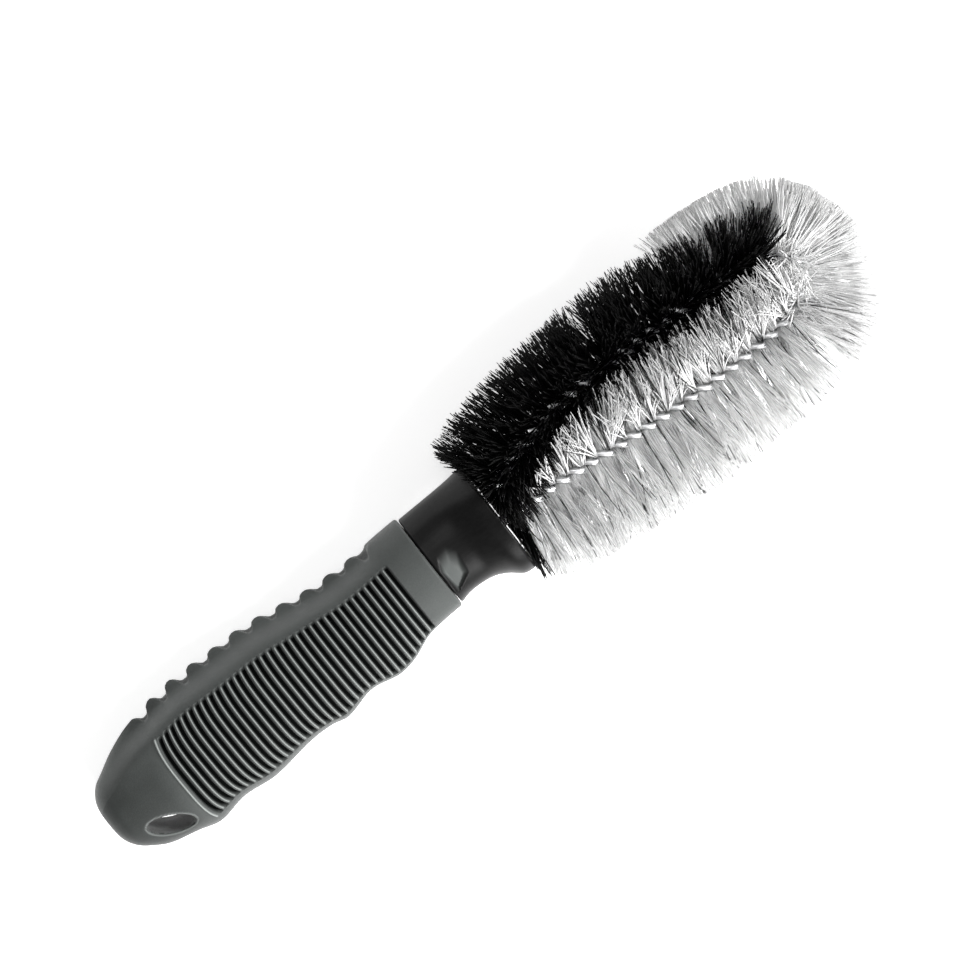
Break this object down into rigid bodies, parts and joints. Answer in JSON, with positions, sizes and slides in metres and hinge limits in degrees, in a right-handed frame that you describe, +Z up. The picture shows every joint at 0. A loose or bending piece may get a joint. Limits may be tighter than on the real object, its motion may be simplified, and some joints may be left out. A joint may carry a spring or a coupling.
{
  "type": "wheel brush",
  "caption": "Hand brush for vehicle wheels: a twisted-wire bristle loop held in a contoured soft-grip handle with a hanging slot.",
  "frame": {"origin": "on the ground, under the middle of the brush's bounding box, as it lies on its side", "axes": "+X along the brush towards the bristle tip, which its axis meets at a rise of 3.73 degrees; +Y towards the notched spine of the grip; +Z up"},
  "size_m": [0.2698, 0.0688, 0.0499],
  "materials": {
    "soft_grip": "matte",
    "rigid_core": "satin",
    "plug_plastic": "matte",
    "crimped_steel": "satin",
    "wire": "satin",
    "white_filament": "satin",
    "black_filament": "satin"
  },
  "bodies": {
    "root": {"grip_sleeve": "soft_grip", "handle_core": "rigid_core", "anchor_plug": "plug_plastic", "end_ferrule_white_arm": "crimped_steel", "end_ferrule_black_arm": "crimped_steel", "wire_strand_a": "wire", "wire_strand_b": "wire", "white_arm_bristles": "white_filament", "white_bend_bristles": "white_filament", "black_arm_bristles": "black_filament", "black_root_bristles": "black_filament"}
  },
  "joints": []
}
